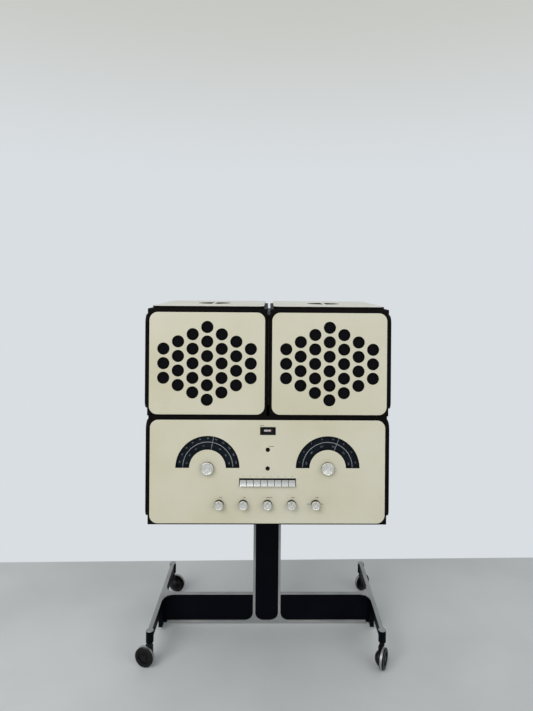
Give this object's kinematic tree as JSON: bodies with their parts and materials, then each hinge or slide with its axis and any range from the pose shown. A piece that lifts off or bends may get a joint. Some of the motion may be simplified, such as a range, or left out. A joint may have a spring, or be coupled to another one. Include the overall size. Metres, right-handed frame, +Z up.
{
  "type": "radiogram on a wheeled stand",
  "caption": "Radio cabinet with half-round dials, keys and knobs, hidden record deck, two perforated loudspeakers on top, and a cast column stand on casters.",
  "frame": {"origin": "on the floor, under the middle of the whole radiogram", "axes": "+Z up, -Y towards the person at the controls, +X to that person's right"},
  "size_m": [0.6714, 0.3933, 0.932],
  "materials": {
    "stand_metal": "cast, grey edges with black faces",
    "bolt_steel": "zinc plated",
    "caster_body": "black moulding",
    "caster_wheel": "hard black wheel",
    "carcass_lacquer": "dark brown-black lacquered board",
    "cream_panel": "satin cream laminate",
    "deck_paint": "fine grey paint",
    "works_steel": "bright steel",
    "platter_metal": "turned, with a dark mat",
    "arm_metal": "satin",
    "dial_black": "near-black blue-grey",
    "pointer_white": "pale paint",
    "meter_black": "black bezel",
    "needle_red": "dark paint",
    "lamp_lens": "unlit dark lens",
    "key_silver": "bright plated",
    "bank_brown": "moulded",
    "transformer_iron": "stacked laminations",
    "knob_metal": "turned",
    "grille_cloth": "black woven cloth",
    "driver_black": "black frame and paper cone"
  },
  "bodies": {
    "root": {"pedestal": "stand_metal", "left_leg": "stand_metal", "right_leg": "stand_metal", "stand_bolts": "bolt_steel", "main_carcass": "carcass_lacquer", "main_front_panel": "cream_panel", "main_side_panels": "cream_panel", "main_back_panel": "cream_panel", "deck_plate": "deck_paint", "platter_motor": "works_steel", "dial_scales": "dial_black", "meter_case": "meter_black", "pilot_lamps": "lamp_lens", "key_bank": "bank_brown", "potentiometers": "works_steel", "radio_chassis": "works_steel", "power_transformer": "transformer_iron"},
    "left_speaker": {"left_speaker_carcass": "carcass_lacquer", "left_speaker_front_panel": "cream_panel", "left_speaker_top_panel": "cream_panel", "left_speaker_side_panels": "cream_panel", "left_speaker_back_panel": "cream_panel", "left_speaker_grille_cloth": "grille_cloth", "left_speaker_drivers": "driver_black"},
    "right_speaker": {"right_speaker_carcass": "carcass_lacquer", "right_speaker_front_panel": "cream_panel", "right_speaker_top_panel": "cream_panel", "right_speaker_side_panels": "cream_panel", "right_speaker_back_panel": "cream_panel", "right_speaker_grille_cloth": "grille_cloth", "right_speaker_drivers": "driver_black"},
    "platter": {"platter": "platter_metal"},
    "arm_gimbal": {"arm_gimbal": "arm_metal"},
    "tonearm": {"tonearm": "arm_metal"},
    "left_tuning_knob": {"left_tuning_knob": "knob_metal"},
    "left_dial_pointer": {"left_dial_pointer": "pointer_white"},
    "right_tuning_knob": {"right_tuning_knob": "knob_metal"},
    "right_dial_pointer": {"right_dial_pointer": "pointer_white"},
    "volume_knob": {"volume_knob": "knob_metal"},
    "bass_knob": {"bass_knob": "knob_metal"},
    "treble_knob": {"treble_knob": "knob_metal"},
    "balance_knob": {"balance_knob": "knob_metal"},
    "mode_knob": {"mode_knob": "knob_metal"},
    "key_1": {"key_1": "key_silver"},
    "key_2": {"key_2": "key_silver"},
    "key_3": {"key_3": "key_silver"},
    "key_4": {"key_4": "key_silver"},
    "key_5": {"key_5": "key_silver"},
    "key_6": {"key_6": "key_silver"},
    "key_7": {"key_7": "key_silver"},
    "key_8": {"key_8": "key_silver"},
    "meter_needle": {"meter_needle": "needle_red"},
    "front_left_fork": {"front_left_caster_fork": "caster_body"},
    "front_left_wheels": {"front_left_caster_wheels": "caster_wheel"},
    "front_right_fork": {"front_right_caster_fork": "caster_body"},
    "front_right_wheels": {"front_right_caster_wheels": "caster_wheel"},
    "rear_left_fork": {"rear_left_caster_fork": "caster_body"},
    "rear_left_wheels": {"rear_left_caster_wheels": "caster_wheel"},
    "rear_right_fork": {"rear_right_caster_fork": "caster_body"},
    "rear_right_wheels": {"rear_right_caster_wheels": "caster_wheel"}
  },
  "joints": [
    {"name": "left_speaker_lift", "type": "slide", "parent": "root", "child": "left_speaker", "axis": [0, 0, 1], "range_m": [0, 0.3]},
    {"name": "right_speaker_lift", "type": "slide", "parent": "root", "child": "right_speaker", "axis": [0, 0, 1], "range_m": [0, 0.3]},
    {"name": "platter_spin", "type": "hinge", "parent": "root", "child": "platter", "pos_m": [-0.095, 0, 0.585], "axis": [0, 0, 1], "continuous": true},
    {"name": "arm_swing", "type": "hinge", "parent": "root", "child": "arm_gimbal", "pos_m": [0.105, 0.07, 0.622], "axis": [0, 0, 1], "range_deg": [-57, 0]},
    {"name": "arm_lift", "type": "hinge", "parent": "arm_gimbal", "child": "tonearm", "pos_m": [0.105, 0.07, 0.622], "axis": [-1, 0, 0], "range_deg": [0, 5]},
    {"name": "left_tuning", "type": "hinge", "parent": "root", "child": "left_tuning_knob", "pos_m": [-0.154, -0.1825, 0.518], "axis": [0, 1, 0], "range_deg": [-573.2, 444.8]},
    {"name": "left_pointer", "type": "hinge", "parent": "root", "child": "left_dial_pointer", "pos_m": [-0.154, -0.1825, 0.518], "axis": [0, 1, 0], "range_deg": [-95.7, 74.3]},
    {"name": "right_tuning", "type": "hinge", "parent": "root", "child": "right_tuning_knob", "pos_m": [0.154, -0.1825, 0.518], "axis": [0, 1, 0], "range_deg": [-638, 380]},
    {"name": "right_pointer", "type": "hinge", "parent": "root", "child": "right_dial_pointer", "pos_m": [0.154, -0.1825, 0.518], "axis": [0, 1, 0], "range_deg": [-106.5, 63.5]},
    {"name": "volume_turn", "type": "hinge", "parent": "root", "child": "volume_knob", "pos_m": [-0.1234, -0.1825, 0.426], "axis": [0, 1, 0], "range_deg": [-20, 250]},
    {"name": "bass_turn", "type": "hinge", "parent": "root", "child": "bass_knob", "pos_m": [-0.0617, -0.1825, 0.426], "axis": [0, 1, 0], "range_deg": [-135, 135]},
    {"name": "treble_turn", "type": "hinge", "parent": "root", "child": "treble_knob", "pos_m": [0, -0.1825, 0.426], "axis": [0, 1, 0], "range_deg": [-135, 135]},
    {"name": "balance_turn", "type": "hinge", "parent": "root", "child": "balance_knob", "pos_m": [0.0617, -0.1825, 0.426], "axis": [0, 1, 0], "range_deg": [-135, 135]},
    {"name": "mode_turn", "type": "hinge", "parent": "root", "child": "mode_knob", "pos_m": [0.1234, -0.1825, 0.426], "axis": [0, 1, 0], "range_deg": [-60, 60]},
    {"name": "key_1_press", "type": "slide", "parent": "root", "child": "key_1", "axis": [0, 1, 0], "range_m": [0, 0.005], "stiffness_N_per_m": 300},
    {"name": "key_2_press", "type": "slide", "parent": "root", "child": "key_2", "axis": [0, 1, 0], "range_m": [0, 0.005], "stiffness_N_per_m": 300},
    {"name": "key_3_press", "type": "slide", "parent": "root", "child": "key_3", "axis": [0, 1, 0], "range_m": [0, 0.005], "stiffness_N_per_m": 300},
    {"name": "key_4_press", "type": "slide", "parent": "root", "child": "key_4", "axis": [0, 1, 0], "range_m": [0, 0.005], "stiffness_N_per_m": 300},
    {"name": "key_5_press", "type": "slide", "parent": "root", "child": "key_5", "axis": [0, 1, 0], "range_m": [0, 0.005], "stiffness_N_per_m": 300},
    {"name": "key_6_press", "type": "slide", "parent": "root", "child": "key_6", "axis": [0, 1, 0], "range_m": [0, 0.005], "stiffness_N_per_m": 300},
    {"name": "key_7_press", "type": "slide", "parent": "root", "child": "key_7", "axis": [0, 1, 0], "range_m": [0, 0.005], "stiffness_N_per_m": 300},
    {"name": "key_8_press", "type": "slide", "parent": "root", "child": "key_8", "axis": [0, 1, 0], "range_m": [0, 0.005], "stiffness_N_per_m": 300},
    {"name": "meter_swing", "type": "hinge", "parent": "root", "child": "meter_needle", "pos_m": [0, -0.1825, 0.6065], "axis": [0, 1, 0], "range_deg": [-40, 40]},
    {"name": "front_left_swivel", "type": "hinge", "parent": "root", "child": "front_left_fork", "pos_m": [-0.3015, -0.164, 0.051], "axis": [0, 0, 1], "continuous": true},
    {"name": "front_left_roll", "type": "hinge", "parent": "front_left_fork", "child": "front_left_wheels", "pos_m": [-0.31207, -0.16097, 0.0255], "axis": [-0.2756, -0.9613, 0], "continuous": true},
    {"name": "front_right_swivel", "type": "hinge", "parent": "root", "child": "front_right_fork", "pos_m": [0.3015, -0.164, 0.051], "axis": [0, 0, 1], "continuous": true},
    {"name": "front_right_roll", "type": "hinge", "parent": "front_right_fork", "child": "front_right_wheels", "pos_m": [0.29634, -0.17371, 0.0255], "axis": [0.8829, -0.4695, 0], "continuous": true},
    {"name": "rear_left_swivel", "type": "hinge", "parent": "root", "child": "rear_left_fork", "pos_m": [-0.3015, 0.164, 0.051], "axis": [0, 0, 1], "continuous": true},
    {"name": "rear_left_roll", "type": "hinge", "parent": "rear_left_fork", "child": "rear_left_wheels", "pos_m": [-0.29067, 0.16209, 0.0255], "axis": [0.1736, 0.9848, 0], "continuous": true},
    {"name": "rear_right_swivel", "type": "hinge", "parent": "root", "child": "rear_right_fork", "pos_m": [0.3015, 0.164, 0.051], "axis": [0, 0, 1], "continuous": true},
    {"name": "rear_right_roll", "type": "hinge", "parent": "rear_right_fork", "child": "rear_right_wheels", "pos_m": [0.31103, 0.1695, 0.0255], "axis": [-0.5, 0.866, 0], "continuous": true}
  ],
  "couplings": [
    {"joint": "left_pointer", "follows": "left_tuning", "ratio": 0.16667},
    {"joint": "right_pointer", "follows": "right_tuning", "ratio": 0.16667}
  ]
}
